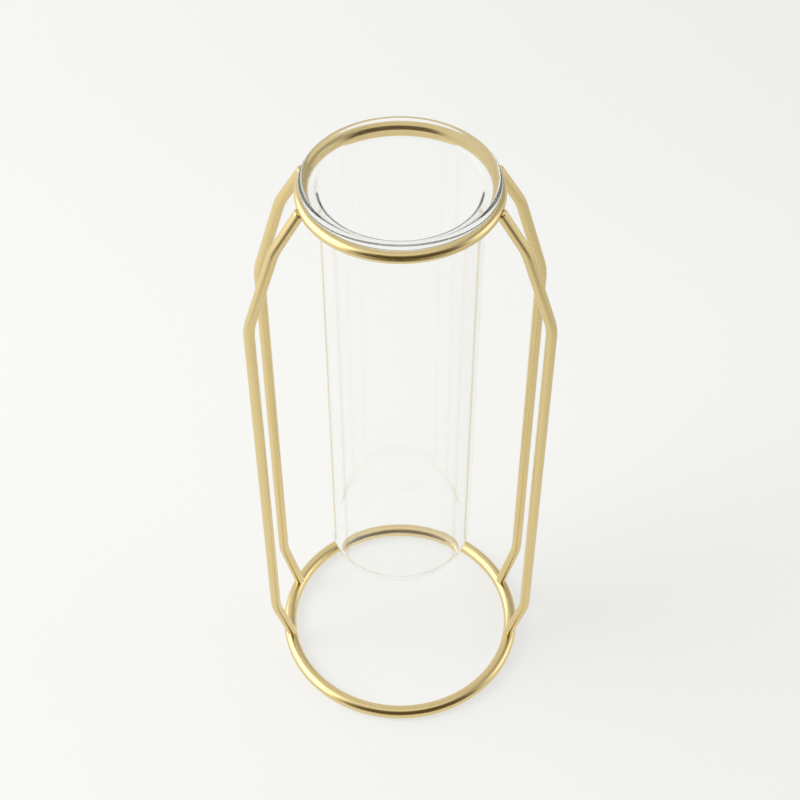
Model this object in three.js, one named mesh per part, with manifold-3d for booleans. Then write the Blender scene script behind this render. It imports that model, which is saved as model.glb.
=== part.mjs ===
// Tube vase: a clear glass tube with a flared lip hangs in the top ring of a gold wire stand.
// Millimetres, +Z up. The origin is the centre of the base ring on the surface that the vase
// stands on, and the front of the vase faces -Y.
import * as THREE from "three";
import { mergeVertices } from "three/addons/utils/BufferGeometryUtils.js";
import Module from "manifold-3d";

// Glass tube
const TUBE_DIAMETER = 42.2;
const TUBE_WALL = 1.3;
const TUBE_FLOOR = 1.3; // glass under the bore
const TUBE_CORNER = 8; // outside radius between the side and the underside
const GROUND_CLEARANCE = 45.1; // surface that the vase stands on to the underside of the tube
const LIP_ANGLE = 57; // degrees from upright to the slope of the lip
const LIP_THICKNESS = 1.8;
const LIP_FILLET = 1.2; // outside radius between the side and the underside of the lip
const LIP_EASE = 1.8; // inside radius between the bore and the top of the lip
const LIP_OVERHANG = 0.4; // reach of the lip past the middle of the top ring's wire
const LIP_SEAT_GAP = 0.3; // between the lip and the wire that carries it

// Top ring, which the tube hangs in
const TOP_WIRE = 3;
const TOP_RING_HEIGHT = 182; // to the middle of the wire
const TUBE_CLEARANCE = 1.8; // between the side of the tube and the inside of the ring

// Base ring, which the vase stands on
const BASE_WIRE = 4;
const BASE_RING_DIAMETER = 71.9; // to the middle of the wire

// Legs: each slants down and out from the top ring in two steps, runs upright, and turns in to the base ring
const LEG_WIRE = 3;
const LEG_RUN_RADIUS = 40.1; // axis of the vase to the upright run
const LEG_BEND_RADIUS = 20;
const TOP_SLANT_ANGLE = 29.75; // degrees from upright, next to the top ring
const TOP_SLANT_DROP = 12.6; // middle of the top ring down to the first bend
const SHOULDER_DROP = 38.5; // middle of the top ring down to the upright run
const FOOT_BEND_HEIGHT = 21; // end of the upright run
const TOP_JOINT_ANGLE = 33; // degrees below level, where a leg meets the outside of the top wire
const FOOT_JOINT_ANGLE = 102; // degrees round the base wire from its outside to where a leg stands on it
const JOINT_GAP = 0.3; // between a leg's hollowed end and the ring that it is brazed to
const HOLLOW_DEPTH = 0.8; // how far a leg's end is hollowed to fit round the ring's wire

// Where the legs stand round the vase, in degrees from its left and right sides towards the front or back
const LEG_PAIRS = [
  { name: "front", turn: -1, top: 18.5, run: 13.1, foot: 12.2 },
  { name: "back", turn: 1, top: 18.9, run: 19.8, foot: 21.1 },
];
const SIDES = [
  { name: "left", sign: -1 },
  { name: "right", sign: 1 },
];

// Fineness of the round forms
const RING_SEGMENTS = 72;
const TUBE_SEGMENTS = 64;
const WIRE_FACETS = 12;
const BEND_STEPS = 5;
const ARC_STEPS = 6;
const RIM_STEPS = 9;
const MERGE_DISTANCE = 1e-4;

// Sizes that follow from the ones above
const tubeRadius = TUBE_DIAMETER / 2;
const boreRadius = tubeRadius - TUBE_WALL;
const boreCorner = TUBE_CORNER - TUBE_WALL;
const topRingRadius = tubeRadius + TUBE_CLEARANCE + TOP_WIRE / 2;
const baseRingRadius = BASE_RING_DIAMETER / 2;
const baseRingHeight = BASE_WIRE / 2;

const gold = new THREE.MeshStandardMaterial({ color: 0xd5c188, roughness: 0.28, metalness: 1 });
const glass = new THREE.MeshStandardMaterial({
  color: 0xf4f7f6,
  roughness: 0.02,
  metalness: 0,
  transparent: true,
  opacity: 0.25,
});

const wasm = await Module();
wasm.setup();

// A closed geometry as a solid that can be cut.
function solidOf(geometry) {
  const bare = geometry.clone();
  bare.deleteAttribute("normal");
  bare.deleteAttribute("uv");
  const merged = mergeVertices(bare, MERGE_DISTANCE);
  return new wasm.Manifold(
    new wasm.Mesh({
      numProp: 3,
      vertProperties: merged.attributes.position.array,
      triVerts: new Uint32Array(merged.index.array),
    }),
  );
}

function geometryOf(solid) {
  const mesh = solid.getMesh();
  const geometry = new THREE.BufferGeometry();
  geometry.setAttribute("position", new THREE.BufferAttribute(mesh.vertProperties, 3));
  geometry.setIndex(new THREE.BufferAttribute(mesh.triVerts, 1));
  geometry.computeVertexNormals();
  return geometry;
}

// Points on a stretch of a circle, angles in degrees.
function arc(centreX, centreY, radius, from, to, steps = ARC_STEPS) {
  return Array.from({ length: steps + 1 }, (_, i) => {
    const angle = THREE.MathUtils.degToRad(from + ((to - from) * i) / steps);
    return new THREE.Vector2(centreX + radius * Math.cos(angle), centreY + radius * Math.sin(angle));
  });
}

// A wire's section: flats that touch the true circle, with one flat straight down.
function wireSection(diameter, centreX = 0, centreY = 0) {
  const corner = diameter / 2 / Math.cos(Math.PI / WIRE_FACETS);
  const half = 180 / WIRE_FACETS;
  return arc(centreX, centreY, corner, half, 360 + half, WIRE_FACETS);
}

// Turns a profile of radius and height round the vase's upright axis.
function turned(profile, segments) {
  return new THREE.LatheGeometry(profile, segments).rotateX(Math.PI / 2);
}

function wireRing(radius, height, diameter) {
  return turned(wireSection(diameter, radius, height), RING_SEGMENTS);
}

// Height of a point at a distance from the vase's axis that lies a given way off the ring's wire, square to
// the slope of the lip.
function heightOverWire(radius, away) {
  const slope = THREE.MathUtils.degToRad(LIP_ANGLE);
  const inward = topRingRadius - radius;
  return TOP_RING_HEIGHT + (away - inward * Math.cos(slope)) / Math.sin(slope);
}

// The tube's profile, from the middle of the underside, up the outside, over the lip and down the bore.
function tubeGeometry() {
  const seat = TOP_WIRE / 2 + LIP_SEAT_GAP;
  const rim = LIP_THICKNESS / 2;
  const rimX = topRingRadius + LIP_OVERHANG - rim;
  const filletX = tubeRadius + LIP_FILLET;
  const easeX = boreRadius + LIP_EASE;
  const rimZ = heightOverWire(rimX, seat + rim);
  const filletZ = heightOverWire(filletX, seat - LIP_FILLET);
  const easeZ = heightOverWire(easeX, seat + LIP_THICKNESS - LIP_EASE);
  const boreFloor = GROUND_CLEARANCE + TUBE_FLOOR;
  const square = 180 - LIP_ANGLE;
  const profile = [
    new THREE.Vector2(0, GROUND_CLEARANCE),
    ...arc(tubeRadius - TUBE_CORNER, GROUND_CLEARANCE + TUBE_CORNER, TUBE_CORNER, 270, 360),
    ...arc(filletX, filletZ, LIP_FILLET, 180, square),
    ...arc(rimX, rimZ, rim, square - 180, square, RIM_STEPS),
    ...arc(easeX, easeZ, LIP_EASE, square, 180),
    ...arc(boreRadius - boreCorner, boreFloor + boreCorner, boreCorner, 360, 270),
    new THREE.Vector2(0, boreFloor),
  ];
  return turned(profile, TUBE_SEGMENTS);
}

// A point at a distance from the vase's axis, turned towards the front or back from its left or right side.
function around(side, turn, degrees, radius, height) {
  const angle = THREE.MathUtils.degToRad(degrees);
  return new THREE.Vector3(side * radius * Math.cos(angle), turn * radius * Math.sin(angle), height);
}

// A wire's centre line through its corners, as points and directions, with each corner bent to a radius.
function bentWire(corners, bendRadius) {
  const stations = [];
  const direction = (i) => corners[i + 1].clone().sub(corners[i]).normalize();
  const add = (point, tangent) => stations.push({ point, tangent });
  add(corners[0], direction(0));
  for (let i = 1; i < corners.length - 1; i++) {
    const before = direction(i - 1);
    const after = direction(i);
    const angle = before.angleTo(after);
    const inward = after.clone().addScaledVector(before, -before.dot(after)).normalize();
    const start = corners[i].clone().addScaledVector(before, -bendRadius * Math.tan(angle / 2));
    for (let step = 0; step <= BEND_STEPS; step++) {
      const bent = (angle * step) / BEND_STEPS;
      const point = start
        .clone()
        .addScaledVector(before, bendRadius * Math.sin(bent))
        .addScaledVector(inward, bendRadius * (1 - Math.cos(bent)));
      const tangent = before.clone().multiplyScalar(Math.cos(bent)).addScaledVector(inward, Math.sin(bent));
      add(point, tangent);
    }
  }
  add(corners.at(-1), direction(corners.length - 2));
  return stations;
}

// A curve with one step from each station of a bent wire to the next, however long the stretch between them.
class WirePath extends THREE.Curve {
  constructor(stations) {
    super();
    this.stations = stations;
  }

  between(t, key) {
    const place = t * (this.stations.length - 1);
    const index = Math.min(Math.floor(place), this.stations.length - 2);
    const [start, end] = this.stations.slice(index, index + 2);
    return start[key].clone().lerp(end[key], place - index);
  }

  getPoint(t) {
    return this.between(t, "point");
  }

  getPointAt(t) {
    return this.between(t, "point");
  }

  getTangentAt(t) {
    return this.between(t, "tangent").normalize();
  }
}

// Where a leg's axis meets a ring's wire, as a distance from the vase's axis and a height.
function jointOn(ringRadius, ringHeight, wire, degrees) {
  const angle = THREE.MathUtils.degToRad(degrees);
  return {
    radius: ringRadius + (wire / 2) * Math.cos(angle),
    height: ringHeight + (wire / 2) * Math.sin(angle),
  };
}

function legCorners(side, pair) {
  const top = jointOn(topRingRadius, TOP_RING_HEIGHT, TOP_WIRE, -TOP_JOINT_ANGLE);
  const foot = jointOn(baseRingRadius, baseRingHeight, BASE_WIRE, FOOT_JOINT_ANGLE);
  const topEnd = around(side, pair.turn, pair.top, top.radius, top.height);
  const shoulder = around(side, pair.turn, pair.run, LEG_RUN_RADIUS, TOP_RING_HEIGHT - SHOULDER_DROP);
  const footBend = around(side, pair.turn, pair.run, LEG_RUN_RADIUS, FOOT_BEND_HEIGHT);
  const footEnd = around(side, pair.turn, pair.foot, foot.radius, foot.height);
  // The first bend lies in the upright plane through the top joint and the shoulder.
  const outward = shoulder.clone().sub(topEnd).setZ(0).normalize();
  const drop = TOP_SLANT_DROP - (TOP_RING_HEIGHT - top.height);
  const slant = Math.tan(THREE.MathUtils.degToRad(TOP_SLANT_ANGLE));
  const firstBend = topEnd.clone().addScaledVector(outward, drop * slant);
  firstBend.z -= drop;
  return [topEnd, firstBend, shoulder, footBend, footEnd];
}

// Lengthens both ends of a centre line, so that the ends can be hollowed.
function lengthened(corners, length) {
  const first = corners[0].clone().sub(corners[1]).setLength(length).add(corners[0]);
  const last = corners.at(-1).clone().sub(corners.at(-2)).setLength(length).add(corners.at(-1));
  return [first, ...corners.slice(1, -1), last];
}

// Round wire along the leg's centre line, with its ends hollowed to fit the two rings.
function legGeometry(side, pair) {
  const corners = lengthened(legCorners(side, pair), HOLLOW_DEPTH - JOINT_GAP);
  const stations = bentWire(corners, LEG_BEND_RADIUS);
  const wire = new THREE.ExtrudeGeometry(new THREE.Shape(wireSection(LEG_WIRE).slice(1)), {
    steps: stations.length - 1,
    extrudePath: new WirePath(stations),
  });
  const spread = 2 * JOINT_GAP;
  const top = solidOf(wireRing(topRingRadius, TOP_RING_HEIGHT, TOP_WIRE + spread));
  const base = solidOf(wireRing(baseRingRadius, baseRingHeight, BASE_WIRE + spread));
  return geometryOf(solidOf(wire).subtract(top).subtract(base));
}

const vase = new THREE.Group();
vase.name = "tube_vase";

function addPart(name, geometry, material) {
  const mesh = new THREE.Mesh(geometry, material);
  mesh.name = name;
  vase.add(mesh);
}

addPart("glass_tube", tubeGeometry(), glass);
addPart("top_ring", wireRing(topRingRadius, TOP_RING_HEIGHT, TOP_WIRE), gold);
addPart("base_ring", wireRing(baseRingRadius, baseRingHeight, BASE_WIRE), gold);
for (const pair of LEG_PAIRS) {
  for (const side of SIDES) {
    addPart(`leg_${pair.name}_${side.name}`, legGeometry(side.sign, pair), gold);
  }
}

export default vase;
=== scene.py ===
"""Looks of the tube vase: a clear glass tube with a flared lip, hung in a satin gold wire stand.

Metres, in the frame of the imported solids: +Z up, the front of the vase faces -Y, and the origin is
the centre of the base ring on the surface that the vase stands on.
"""
import math

import bpy
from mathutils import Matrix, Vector


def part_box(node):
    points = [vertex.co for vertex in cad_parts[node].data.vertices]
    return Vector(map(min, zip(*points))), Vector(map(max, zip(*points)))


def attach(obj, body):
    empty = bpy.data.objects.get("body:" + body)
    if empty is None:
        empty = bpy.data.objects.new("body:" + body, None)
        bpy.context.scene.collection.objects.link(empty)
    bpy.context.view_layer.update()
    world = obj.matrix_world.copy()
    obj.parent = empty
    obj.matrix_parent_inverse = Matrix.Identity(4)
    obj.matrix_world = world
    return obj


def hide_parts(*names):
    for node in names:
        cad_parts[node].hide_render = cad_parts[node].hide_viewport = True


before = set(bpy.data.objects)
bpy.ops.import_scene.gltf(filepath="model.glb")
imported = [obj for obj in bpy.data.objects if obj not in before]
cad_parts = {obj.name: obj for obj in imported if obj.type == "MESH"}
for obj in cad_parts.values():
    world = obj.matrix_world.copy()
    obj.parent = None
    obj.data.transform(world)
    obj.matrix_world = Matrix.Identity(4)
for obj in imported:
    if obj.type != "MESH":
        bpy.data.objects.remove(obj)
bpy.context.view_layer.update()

MM = 0.001


def grey(level):
    return (level, level, level, 1)


# Glass tube, the same sizes as its solid
TUBE_RADIUS = 21.1 * MM
TUBE_WALL = 1.3 * MM
TUBE_FLOOR = 1.3 * MM
TUBE_CORNER = 8 * MM
LIP_ANGLE = 57
LIP_THICKNESS = 1.8 * MM
LIP_FILLET = 1.2 * MM
LIP_EASE = 1.8 * MM
LIP_OVERHANG = 0.4 * MM
LIP_SEAT_GAP = 0.3 * MM
GROUND_CLEARANCE = 45.1 * MM
TUBE_AXIS_GAP = 0.02 * MM
TUBE_SEGMENTS = 224
PROFILE_STEPS = 20

# Legs, the same sizes as their solids
LEG_WIRE = 3 * MM
LEG_RUN_RADIUS = 40.1 * MM
LEG_BEND_RADIUS = 20 * MM
TOP_SLANT_ANGLE = 29.75
TOP_SLANT_DROP = 12.6 * MM
SHOULDER_DROP = 38.5 * MM
FOOT_BEND_HEIGHT = 21 * MM
TOP_JOINT_ANGLE = -33
FOOT_JOINT_ANGLE = 102
LEG_PAIRS = {
    "front": {"turn": -1, "top": 18.5, "run": 13.1, "foot": 12.2},
    "back": {"turn": 1, "top": 18.9, "run": 19.8, "foot": 21.1},
}
SIDES = {"left": -1, "right": 1}

# Joints: a leg's rounded end is brazed to the ring and reaches a little past the middle of the joint
TOP_REACH = 0.8 * MM
TOP_ROUNDING = 0.6 * MM
FOOT_REACH = 0.5 * MM
FOOT_ROUNDING = 1.3 * MM
END_ROWS = [3 * MM, 1.5 * MM, 0.7 * MM, 0.3 * MM, 0]
CAP_SHARES = [0.98, 0.94, 0.87, 0.77, 0.64, 0.48, 0.3]
HIT_STEPS = 40

RING_SEGMENTS = 240
WIRE_FACETS = 40
BEND_STEPS = 14
SHARP_ANGLE = math.radians(40)

# The photograph's camera: focal length for a 36 mm sensor, and the angle below the horizon
CAMERA_PLACE = Vector((-0.000081, -0.29416, 0.42592))
CAMERA_DOWN = math.radians(47.34)
CAMERA_LENS = 70.17
CAMERA_NEAR = 0.01
SENSOR_WIDTH = 36

# Gold finish: tints, and how often brush marks and patches come in a metre along the wire and across it
GOLD_TINTS = [(0.755, 0.595, 0.285, 1), (0.80, 0.645, 0.33, 1)]
GOLD_ROUGHNESS = (0.235, 0.285)
BRUSH_MARKS = (60, 2600, 2600)
BRUSH_DEPTH = 0.03 * MM
BRUSH_STRENGTH = 0.05
GOLD_PATCHES = (45, 160, 160)

# Clear glass: waves in a metre along the tube and across it, light lost in each metre of glass, and
# bounces enough to follow light down the wall
GLASS_TINT = (0.997, 1.0, 0.998, 1)
GLASS_INDEX = 1.47
GLASS_GLEAM = grey(0.25)
GLASS_WAVES = (14, 90, 90)
WAVE_DEPTH = 0.1 * MM
WAVE_STRENGTH = 0.1
GLASS_DEPTH = 3.0
GLASS_DEPTH_TINT = (0.0, 0.03, 0.0, 1)
WALL_BOUNCES = 256

# Floor: the share of its own glowing tone where it is seen and where metal mirrors it, and the stretches of
# X and
# Y over which its tones change. The glow holds painted light, brighter on the left, and painted shade,
# darker on the right and at the back, and a painted reflection that metal sees dimmer on the right and dark
# in front
FLOOR_RADIUS = 12
FLOOR_EDGES = 96
FLOOR_OWN_TONE = 0.7
FLOOR_MIRRORED_TONE = 0.95
FLOOR_MATT_TONES = [(0.83, 0.83, 0.815, 1), (0.84, 0.84, 0.825, 1)]
FLOOR_SPECKS = 6.0
# Painted light: the floor's glow goes from brighter on the left to darker on the right, as if lit from the
# left
FLOOR_PAINTED_LIGHT_LEFT = (1.0, 1.0, 0.975, 1)
FLOOR_PAINTED_SHADE_RIGHT = (0.87, 0.87, 0.85, 1)
FLOOR_PAINTED_LIGHT_SPAN = (-0.45, 0.45)
# Painted shade: the floor's glow darkens a little towards the back
FLOOR_PAINTED_SHADE_BEHIND_SPAN = (0.1, 0.36)
FLOOR_PAINTED_SHADE_BEHIND = 0.04
# Painted reflection: metal sees the floor dimmer on the right and as dark as the room far in front
PAINTED_REFLECTION_RIGHT_SPAN = (-0.1, 0.3)
PAINTED_REFLECTION_RIGHT = 0.25
PAINTED_REFLECTION_FRONT_SPAN = (-0.31, -0.19)
PAINTED_REFLECTION_SIDES_SPAN = (0.36, 0.5)
# The dark of the room: a dim patch of the world's light, and painted into the floor as the dark reflection
# metal sees in front
ROOM_DARK = (0.10, 0.068, 0.025, 1)

# What lies behind the floor's far parts, seen past the vase
BACKDROP = (0.9, 0.9, 0.885, 1)
FAR_FLOOR = (0.42, 1.0)

# The studio as the rings mirror it: brightness inside patches of degrees right of the camera and degrees
# above the horizon, each over the ones before it
STUDIO_ALL_ROUND = 0.82
STUDIO_OVERHEAD = 1.04
OVERHEAD_HEIGHTS = (50, 85)
STUDIO_PATCHES = [
    {"turns": (112, 158), "heights": (-20, 66), "tone": grey(0.5)},
    {"turns": (58, 150), "heights": (34, 67), "tone": grey(0.48)},
    {"turns": (80, 113), "heights": (-10, 37), "tone": grey(1.7)},
    {"turns": (-128, -58), "heights": (-15, 61), "tone": grey(2.5)},
    {"turns": (-48, 64), "heights": (-30, 66), "tone": ROOM_DARK},
]
PATCH_SOFTNESS = 8

# The lamp that lays the shadow
LAMP_PLACE = Vector((-1.16, -0.12, 1.04))
LAMP_SIZE = 0.8
LAMP_ENERGY = 7


class Ring:
    """A wire ring of the stand, as measured on its solid."""

    def __init__(self, node):
        low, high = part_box(node)
        self.wire = high.z - low.z
        self.height = (high.z + low.z) / 2
        self.radius = high.x - self.wire / 2

    def joint(self, degrees):
        """Distance from the axis and height of a point on the wire, at an angle up from its outside."""
        angle = math.radians(degrees)
        reach = self.wire / 2
        return self.radius + reach * math.cos(angle), self.height + reach * math.sin(angle)

    def middle(self, point):
        """The nearest point on the middle of the wire."""
        out = Vector((point.x, point.y, 0)).normalized() * self.radius
        return Vector((out.x, out.y, self.height))

    def distance(self, point):
        """Distance from the wire's surface, negative inside it."""
        return (point - self.middle(point)).length - self.wire / 2


top_ring = Ring("top_ring")
base_ring = Ring("base_ring")


def finished_piece(name, rows, grain, material, closed_along=False):
    """A mesh from rows of points, each row closed round on itself.

    grain holds, for each point, the distance along the piece and the place round it, which the
    finish follows.
    """
    count = len(rows[0])
    points = [p for row in rows for p in row]
    along = len(rows) if closed_along else len(rows) - 1
    faces = []
    for i in range(along):
        here = i * count
        there = (i + 1) % len(rows) * count
        for j in range(count):
            k = (j + 1) % count
            faces.append((here + j, here + k, there + k, there + j))
    if not closed_along:
        faces.append(tuple(range(count - 1, -1, -1)))
        faces.append(tuple(range((len(rows) - 1) * count, len(rows) * count)))
    mesh = bpy.data.meshes.new(name)
    mesh.from_pydata(points, [], faces)
    mesh.polygons.foreach_set("use_smooth", [True] * len(mesh.polygons))
    mesh.set_sharp_from_angle(angle=SHARP_ANGLE)
    attribute = mesh.attributes.new("grain", "FLOAT_VECTOR", "POINT")
    attribute.data.foreach_set("vector", [c for row in grain for g in row for c in g])
    mesh.materials.append(material)
    piece = bpy.data.objects.new(name, mesh)
    bpy.context.scene.collection.objects.link(piece)
    return piece


def arc(centre_x, centre_y, radius, start, end, steps=PROFILE_STEPS):
    """Points on a stretch of a circle, angles in degrees."""
    points = []
    for i in range(steps + 1):
        angle = math.radians(start + (end - start) * i / steps)
        points.append((centre_x + radius * math.cos(angle), centre_y + radius * math.sin(angle)))
    return points


def height_over_wire(radius, away):
    """Height of a point that lies a given way off the ring's wire, square to the slope of the lip."""
    slope = math.radians(LIP_ANGLE)
    inward = top_ring.radius - radius
    return top_ring.height + (away - inward * math.cos(slope)) / math.sin(slope)


def tube_profile():
    """Distance from the axis and height, from the underside up the outside, over the lip, down the bore."""
    edge = LIP_THICKNESS / 2
    seat = top_ring.wire / 2 + LIP_SEAT_GAP
    bore_radius = TUBE_RADIUS - TUBE_WALL
    bore_corner = TUBE_CORNER - TUBE_WALL
    bore_floor = GROUND_CLEARANCE + TUBE_FLOOR
    rim_x = top_ring.radius + LIP_OVERHANG - edge
    fillet_x = TUBE_RADIUS + LIP_FILLET
    ease_x = bore_radius + LIP_EASE
    rim_z = height_over_wire(rim_x, seat + edge)
    fillet_z = height_over_wire(fillet_x, seat - LIP_FILLET)
    ease_z = height_over_wire(ease_x, seat + LIP_THICKNESS - LIP_EASE)
    square = 180 - LIP_ANGLE
    low = GROUND_CLEARANCE
    return [
        (TUBE_AXIS_GAP, low),
        *arc(TUBE_RADIUS - TUBE_CORNER, low + TUBE_CORNER, TUBE_CORNER, 270, 360),
        *arc(fillet_x, fillet_z, LIP_FILLET, 180, square),
        *arc(rim_x, rim_z, edge, square - 180, square),
        *arc(ease_x, ease_z, LIP_EASE, square, 180),
        *arc(bore_radius - bore_corner, bore_floor + bore_corner, bore_corner, 360, 270),
        (TUBE_AXIS_GAP, bore_floor),
    ]


def glass_tube(material):
    rows = []
    grain = []
    turns = [math.tau * j / TUBE_SEGMENTS for j in range(TUBE_SEGMENTS)]
    outward = [Vector((0, math.cos(a), math.sin(a))) for a in turns]
    for radius, height in tube_profile():
        rows.append([Vector((radius * out.y, radius * out.z, height)) for out in outward])
        grain.append([Vector((height, 0, 0)) + out * TUBE_RADIUS for out in outward])
    piece = finished_piece("clear_tube", rows, grain, material)
    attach(piece, "tube")
    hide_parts("glass_tube")


def wire_ring(name, node, ring, material):
    rows = []
    grain = []
    for i in range(RING_SEGMENTS):
        turn = math.tau * i / RING_SEGMENTS
        out = Vector((math.cos(turn), math.sin(turn), 0))
        row = []
        marks = []
        for j in range(WIRE_FACETS):
            angle = math.tau * j / WIRE_FACETS
            across = Vector((math.cos(angle), math.sin(angle))) * (ring.wire / 2)
            row.append(out * (ring.radius + across.x) + Vector((0, 0, ring.height - across.y)))
            marks.append(Vector((turn * ring.radius, across.x, across.y)))
        rows.append(row)
        grain.append(marks)
    piece = finished_piece(name, rows, grain, material, closed_along=True)
    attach(piece, "stand")
    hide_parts(node)


def around(side, turn, degrees, radius, height):
    """A point turned towards the front or back from the left or right side of the vase."""
    angle = math.radians(degrees)
    return Vector((side * radius * math.cos(angle), turn * radius * math.sin(angle), height))


def leg_corners(side, pair):
    top_radius, top_height = top_ring.joint(TOP_JOINT_ANGLE)
    foot_radius, foot_height = base_ring.joint(FOOT_JOINT_ANGLE)
    shoulder_height = top_ring.height - SHOULDER_DROP
    top_end = around(side, pair["turn"], pair["top"], top_radius, top_height)
    shoulder = around(side, pair["turn"], pair["run"], LEG_RUN_RADIUS, shoulder_height)
    foot_bend = around(side, pair["turn"], pair["run"], LEG_RUN_RADIUS, FOOT_BEND_HEIGHT)
    foot_end = around(side, pair["turn"], pair["foot"], foot_radius, foot_height)
    outward = Vector((shoulder.x - top_end.x, shoulder.y - top_end.y, 0)).normalized()
    drop = TOP_SLANT_DROP - (top_ring.height - top_height)
    slant = math.tan(math.radians(TOP_SLANT_ANGLE))
    first_bend = top_end + outward * drop * slant - Vector((0, 0, drop))
    return [top_end, first_bend, shoulder, foot_bend, foot_end]


def bends_of(corners):
    """The points and directions round each bend of a wire, without its two ends."""
    stations = []
    for before_corner, corner, after_corner in zip(corners, corners[1:], corners[2:]):
        before = (corner - before_corner).normalized()
        after = (after_corner - corner).normalized()
        angle = before.angle(after)
        inward = (after - before * before.dot(after)).normalized()
        start = corner - before * LEG_BEND_RADIUS * math.tan(angle / 2)
        for step in range(BEND_STEPS + 1):
            bent = angle * step / BEND_STEPS
            forward = before * math.sin(bent) + inward * (1 - math.cos(bent))
            tangent = before * math.cos(bent) + inward * math.sin(bent)
            stations.append((start + forward * LEG_BEND_RADIUS, tangent))
    return stations


class WireEnd:
    """The straight end of a leg, seated on the ring that it is brazed to."""

    def __init__(self, start, joint, ring, reach, rounding, first, second):
        self.start = start
        self.along = (joint - start).normalized()
        self.reach = (joint - start).length + reach
        self.ring = ring
        self.rounding = rounding
        self.first = first
        self.second = second

    def side(self, angle):
        return self.first * math.cos(angle) + self.second * math.sin(angle)

    def length_to_ring(self, offset):
        """How far a line along the wire runs before it meets the ring or the wire's own end."""
        origin = self.start + offset
        if self.ring.distance(origin + self.along * self.reach) > 0:
            return self.reach
        near, far = 0, self.reach
        for _ in range(HIT_STEPS):
            middle = (near + far) / 2
            if self.ring.distance(origin + self.along * middle) > 0:
                near = middle
            else:
                far = middle
        return near

    def end_of(self, offset, share):
        """How far a line along the wire runs before the ring or the wire's rounded end stops it."""
        rounded = self.reach - self.rounding * (1 - math.sqrt(1 - share * share))
        return min(self.length_to_ring(offset), rounded)

    def rows(self, angles):
        """Rows of points from the start of the straight end to its rounding, then over the rounding."""
        rows = []
        for back in END_ROWS:
            row = []
            for angle in angles:
                offset = self.side(angle) * LEG_WIRE / 2
                row.append(self.start + offset + self.along * (self.end_of(offset, 1) - back))
            rows.append(row)
        for share in CAP_SHARES:
            row = []
            for angle in angles:
                offset = self.side(angle) * LEG_WIRE / 2 * share
                row.append(self.start + offset + self.along * self.end_of(offset, share))
            rows.append(row)
        return rows


def carried_sides(stations):
    """Two directions across the wire at each station, carried along it without twist."""
    tangent = stations[0][1]
    first = tangent.orthogonal().normalized()
    sides = []
    for _, after in stations:
        first = (first - after * first.dot(after)).normalized()
        sides.append((first.copy(), after.cross(first).normalized()))
    return sides


def wire_leg(name, node, side, pair, material):
    corners = leg_corners(side, pair)
    stations = bends_of(corners)
    sides = carried_sides(stations)
    angles = [math.tau * j / WIRE_FACETS for j in range(WIRE_FACETS)]
    top = WireEnd(stations[0][0], corners[0], top_ring, TOP_REACH, TOP_ROUNDING, *sides[0])
    foot = WireEnd(stations[-1][0], corners[-1], base_ring, FOOT_REACH, FOOT_ROUNDING, *sides[-1])
    rows = list(reversed(top.rows(angles)))
    for (point, _), (first, second) in zip(stations, sides):
        rows.append([point + (first * math.cos(a) + second * math.sin(a)) * LEG_WIRE / 2 for a in angles])
    rows.extend(foot.rows(angles))
    grain = leg_grain(rows, angles)
    piece = finished_piece(name, rows, grain, material)
    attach(piece, "stand")
    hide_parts(node)


def leg_grain(rows, angles):
    """Distance along the leg and place round its wire for each point."""
    grain = []
    length = 0
    before = None
    for row in rows:
        centre = sum(row, Vector()) / len(row)
        if before is not None:
            length += (centre - before).length
        before = centre
        outward = [Vector((0, math.cos(a), math.sin(a))) for a in angles]
        grain.append([Vector((length, 0, 0)) + out * LEG_WIRE / 2 for out in outward])
    return grain


class Nodes:
    """Short calls for building a material's or the world's nodes."""

    def __init__(self, tree):
        self.tree = tree
        tree.nodes.clear()

    def add(self, kind, inputs=None, **settings):
        node = self.tree.nodes.new(kind)
        for key, value in settings.items():
            setattr(node, key, value)
        for key, value in (inputs or {}).items():
            if isinstance(value, bpy.types.NodeSocket):
                self.tree.links.new(value, node.inputs[key])
            else:
                node.inputs[key].default_value = value
        return node

    def noise(self, vector, scale, detail=2.0, roughness=0.5):
        inputs = {"Vector": vector, "Scale": scale, "Detail": detail, "Roughness": roughness}
        return self.add("ShaderNodeTexNoise", inputs).outputs["Fac"]

    def stretched(self, vector, scale):
        inputs = {"Vector": vector, "Scale": scale}
        return self.add("ShaderNodeMapping", inputs).outputs["Vector"]

    def ranged(self, value, low, high, start=0.0, end=1.0, smooth=False):
        inputs = {"Value": value, "From Min": start, "From Max": end, "To Min": low, "To Max": high}
        kind = "SMOOTHSTEP" if smooth else "LINEAR"
        return self.add("ShaderNodeMapRange", inputs, interpolation_type=kind).outputs["Result"]

    def maths(self, operation, first, second=0.0):
        return self.add("ShaderNodeMath", {0: first, 1: second}, operation=operation).outputs[0]

    def mixed(self, factor, first, second, blend="MIX"):
        node = self.add("ShaderNodeMix", {"Factor": factor}, data_type="RGBA", blend_type=blend)
        for socket, value in ((node.inputs[6], first), (node.inputs[7], second)):
            if isinstance(value, bpy.types.NodeSocket):
                self.tree.links.new(value, socket)
            else:
                socket.default_value = value
        return node.outputs[2]


def new_material(name):
    material = bpy.data.materials.new(name)
    material.use_nodes = True
    return material, Nodes(material.node_tree)


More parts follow.
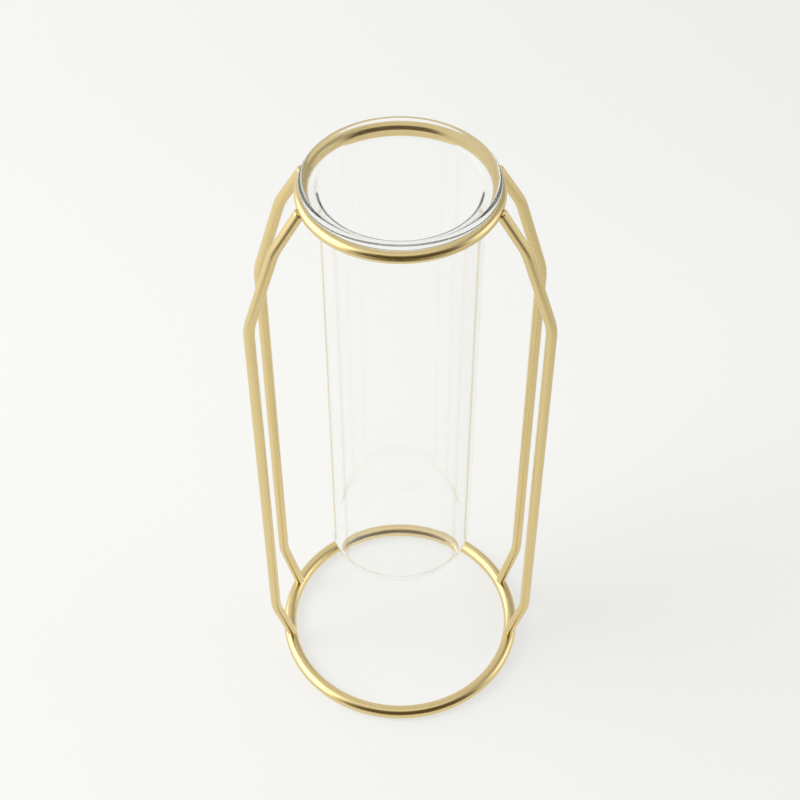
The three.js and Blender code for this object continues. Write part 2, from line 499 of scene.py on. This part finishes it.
def satin_gold():
    """Gold finish on drawn wire, finely brushed along its length."""
    material, nodes = new_material("satin_gold")
    grain = nodes.add("ShaderNodeAttribute", attribute_name="grain").outputs["Vector"]
    streaks = nodes.noise(nodes.stretched(grain, BRUSH_MARKS), 1.0, 3.0, 0.6)
    patches = nodes.noise(nodes.stretched(grain, GOLD_PATCHES), 1.0)
    tint = nodes.mixed(patches, *GOLD_TINTS)
    roughness = nodes.ranged(streaks, *GOLD_ROUGHNESS, 0.25, 0.75)
    marks = {"Strength": BRUSH_STRENGTH, "Distance": BRUSH_DEPTH, "Height": streaks}
    bump = nodes.add("ShaderNodeBump", marks)
    shader = nodes.add(
        "ShaderNodeBsdfPrincipled",
        {
            "Base Color": tint,
            "Metallic": 1.0,
            "Roughness": roughness,
            "Normal": bump.outputs["Normal"],
        },
    )
    nodes.add("ShaderNodeOutputMaterial", {"Surface": shader.outputs["BSDF"]})
    return material


def clear_glass():
    """Drawn glass tube: clear, with the slightest waviness along its length."""
    material, nodes = new_material("clear_glass")
    grain = nodes.add("ShaderNodeAttribute", attribute_name="grain").outputs["Vector"]
    waves = nodes.noise(nodes.stretched(grain, GLASS_WAVES), 1.0)
    bump = nodes.add("ShaderNodeBump", {"Strength": WAVE_STRENGTH, "Distance": WAVE_DEPTH, "Height": waves})
    shader = nodes.add(
        "ShaderNodeBsdfPrincipled",
        {
            "Base Color": GLASS_TINT,
            "Roughness": 0.0,
            "IOR": GLASS_INDEX,
            "Specular Tint": GLASS_GLEAM,
            "Transmission Weight": 1.0,
            "Normal": bump.outputs["Normal"],
        },
    )
    depth = nodes.add("ShaderNodeVolumeAbsorption", {"Color": GLASS_DEPTH_TINT, "Density": GLASS_DEPTH})
    outputs = {"Surface": shader.outputs["BSDF"], "Volume": depth.outputs["Volume"]}
    nodes.add("ShaderNodeOutputMaterial", outputs)
    return material


def pale_floor():
    """A plain matt floor that also glows, as a lit table looks, with painted light that makes it brighter on
    the left and painted shade that makes it darker on the right and a little darker at the back.

    The metal sees a painted reflection in it: dimmer on the right and dark far in front, as dark as the
    room.
    Its far parts fade into the backdrop.
    """
    material, nodes = new_material("pale_floor")
    place = nodes.add("ShaderNodeTexCoord").outputs["Object"]
    parts = nodes.add("ShaderNodeSeparateXYZ", {"Vector": place})
    tone = nodes.mixed(nodes.noise(place, FLOOR_SPECKS), *FLOOR_MATT_TONES)
    matt = nodes.add(
        "ShaderNodeBsdfPrincipled",
        {"Base Color": tone, "Roughness": 0.9, "Specular IOR Level": 0.0},
    )
    rays = nodes.add("ShaderNodeLightPath")
    # Painted light: the glow is brighter on the left and painted shade makes it darker on the right
    across = nodes.ranged(parts.outputs["X"], 0.0, 1.0, *FLOOR_PAINTED_LIGHT_SPAN, smooth=True)
    own = nodes.mixed(across, FLOOR_PAINTED_LIGHT_LEFT, FLOOR_PAINTED_SHADE_RIGHT)
    # Painted shade: the glow darkens a little towards the back
    behind = nodes.ranged(parts.outputs["Y"], 0.0, FLOOR_PAINTED_SHADE_BEHIND, *FLOOR_PAINTED_SHADE_BEHIND_SPAN, smooth=True)
    own = nodes.mixed(behind, own, grey(0.0))
    # Painted reflection: what metal sees of the floor is dimmer on the right and dark far in front
    right = nodes.ranged(parts.outputs["X"], 0.0, PAINTED_REFLECTION_RIGHT, *PAINTED_REFLECTION_RIGHT_SPAN, smooth=True)
    front = nodes.ranged(parts.outputs["Y"], 1.0, 0.0, *PAINTED_REFLECTION_FRONT_SPAN, smooth=True)
    beside = nodes.maths("ABSOLUTE", parts.outputs["X"])
    painted_reflection_dim = nodes.maths("MAXIMUM", right, front)
    painted_reflection_dim = nodes.maths("MULTIPLY", painted_reflection_dim, nodes.ranged(beside, 1.0, 0.0, *PAINTED_REFLECTION_SIDES_SPAN, smooth=True))
    mirrored = rays.outputs["Is Glossy Ray"]
    metal = nodes.maths("SUBTRACT", mirrored, rays.outputs["Is Transmission Ray"])
    own = nodes.mixed(nodes.maths("MULTIPLY", painted_reflection_dim, metal), own, ROOM_DARK)
    away = nodes.add("ShaderNodeVectorMath", {0: place}, operation="LENGTH").outputs["Value"]
    far = nodes.ranged(away, 0.0, 1.0, *FAR_FLOOR, smooth=True)
    straight = nodes.maths("MAXIMUM", rays.outputs["Is Camera Ray"], rays.outputs["Is Transmission Ray"])
    far = nodes.maths("MULTIPLY", far, straight)
    own = nodes.mixed(far, own, BACKDROP)
    glow = nodes.add("ShaderNodeEmission", {"Color": own, "Strength": 1.0})
    seen = nodes.maths("MAXIMUM", straight, mirrored)
    share = nodes.maths("MULTIPLY", seen, nodes.ranged(metal, FLOOR_OWN_TONE, FLOOR_MIRRORED_TONE))
    share = nodes.maths("MAXIMUM", share, far)
    looks = {0: share, 1: matt.outputs["BSDF"], 2: glow.outputs["Emission"]}
    shader = nodes.add("ShaderNodeMixShader", looks)
    nodes.add("ShaderNodeOutputMaterial", {"Surface": shader.outputs["Shader"]})
    return material


def floor_disc(material):
    """A round floor, level with the underside of the base ring."""
    mesh = bpy.data.meshes.new("floor")
    turns = [math.tau * i / FLOOR_EDGES for i in range(FLOOR_EDGES)]
    points = [(FLOOR_RADIUS * math.cos(a), FLOOR_RADIUS * math.sin(a), 0) for a in turns]
    mesh.from_pydata(points, [], [tuple(range(FLOOR_EDGES))])
    mesh.materials.append(material)
    floor = bpy.data.objects.new("floor", mesh)
    bpy.context.scene.collection.objects.link(floor)


def studio_world():
    """Even light from all round, with a broad light on the left, a smaller one on the right and the dark
    of the room behind the camera.
    """
    world = bpy.data.worlds.new("studio")
    bpy.context.scene.world = world
    world.use_nodes = True
    nodes = Nodes(world.node_tree)
    direction = nodes.add("ShaderNodeTexCoord").outputs["Generated"]
    parts = nodes.add("ShaderNodeSeparateXYZ", {"Vector": direction})
    front = nodes.maths("MULTIPLY", parts.outputs["Y"], -1.0)
    turn = nodes.maths("ARCTAN2", parts.outputs["X"], front)
    height = nodes.maths("ARCSINE", parts.outputs["Z"])

    def past(value, degrees):
        """Rises from 0 to 1 where a direction passes an angle."""
        start = math.radians(degrees - PATCH_SOFTNESS)
        end = math.radians(degrees + PATCH_SOFTNESS)
        return nodes.ranged(value, 0.0, 1.0, start, end, smooth=True)

    def inside(value, limits):
        low, high = limits
        return nodes.maths("SUBTRACT", past(value, low), past(value, high))

    start, end = (math.radians(degrees) for degrees in OVERHEAD_HEIGHTS)
    overhead = nodes.ranged(height, 0.0, 1.0, start, end, smooth=True)
    level = nodes.mixed(overhead, grey(STUDIO_ALL_ROUND), grey(STUDIO_OVERHEAD))
    for patch in STUDIO_PATCHES:
        shape = nodes.maths("MULTIPLY", inside(turn, patch["turns"]), inside(height, patch["heights"]))
        level = nodes.mixed(shape, level, patch["tone"])
    rays = nodes.add("ShaderNodeLightPath")
    level = nodes.mixed(rays.outputs["Is Transmission Ray"], level, BACKDROP, "DARKEN")
    level = nodes.mixed(rays.outputs["Is Camera Ray"], level, BACKDROP)
    background = nodes.add("ShaderNodeBackground", {"Color": level, "Strength": 1.0})
    nodes.add("ShaderNodeOutputWorld", {"Surface": background.outputs["Background"]})


def side_lamp():
    """A soft lamp on the left that lays the faint shadow to the right, without a gleam in metal or glass."""
    data = bpy.data.lights.new("side_lamp", "AREA")
    data.shape = "DISK"
    data.size = LAMP_SIZE
    data.energy = LAMP_ENERGY
    lamp = bpy.data.objects.new("side_lamp", data)
    lamp.location = LAMP_PLACE
    lamp.rotation_euler = LAMP_PLACE.to_track_quat("Z", "Y").to_euler()
    lamp.visible_glossy = False
    lamp.visible_transmission = False
    bpy.context.scene.collection.objects.link(lamp)


def light_paths():
    """Enough bounces for light that runs down inside the wall of the glass."""
    cycles = bpy.context.scene.cycles
    cycles.max_bounces = WALL_BOUNCES
    cycles.glossy_bounces = WALL_BOUNCES
    cycles.transmission_bounces = WALL_BOUNCES


def photo_camera():
    data = bpy.data.cameras.new("camera")
    data.sensor_width = SENSOR_WIDTH
    data.lens = CAMERA_LENS
    data.clip_start = CAMERA_NEAR
    camera = bpy.data.objects.new("camera", data)
    camera.location = CAMERA_PLACE
    camera.rotation_euler = (math.pi / 2 - CAMERA_DOWN, 0, 0)
    bpy.context.scene.collection.objects.link(camera)
    bpy.context.scene.camera = camera


gold = satin_gold()
glass_tube(clear_glass())
wire_ring("upper_ring", "top_ring", top_ring, gold)
wire_ring("lower_ring", "base_ring", base_ring, gold)
for place, pair in LEG_PAIRS.items():
    for side, sign in SIDES.items():
        wire_leg(f"wire_leg_{place}_{side}", f"leg_{place}_{side}", sign, pair, gold)

floor_disc(pale_floor())
studio_world()
side_lamp()
light_paths()
photo_camera()
bpy.context.scene.view_settings.view_transform = "Standard"
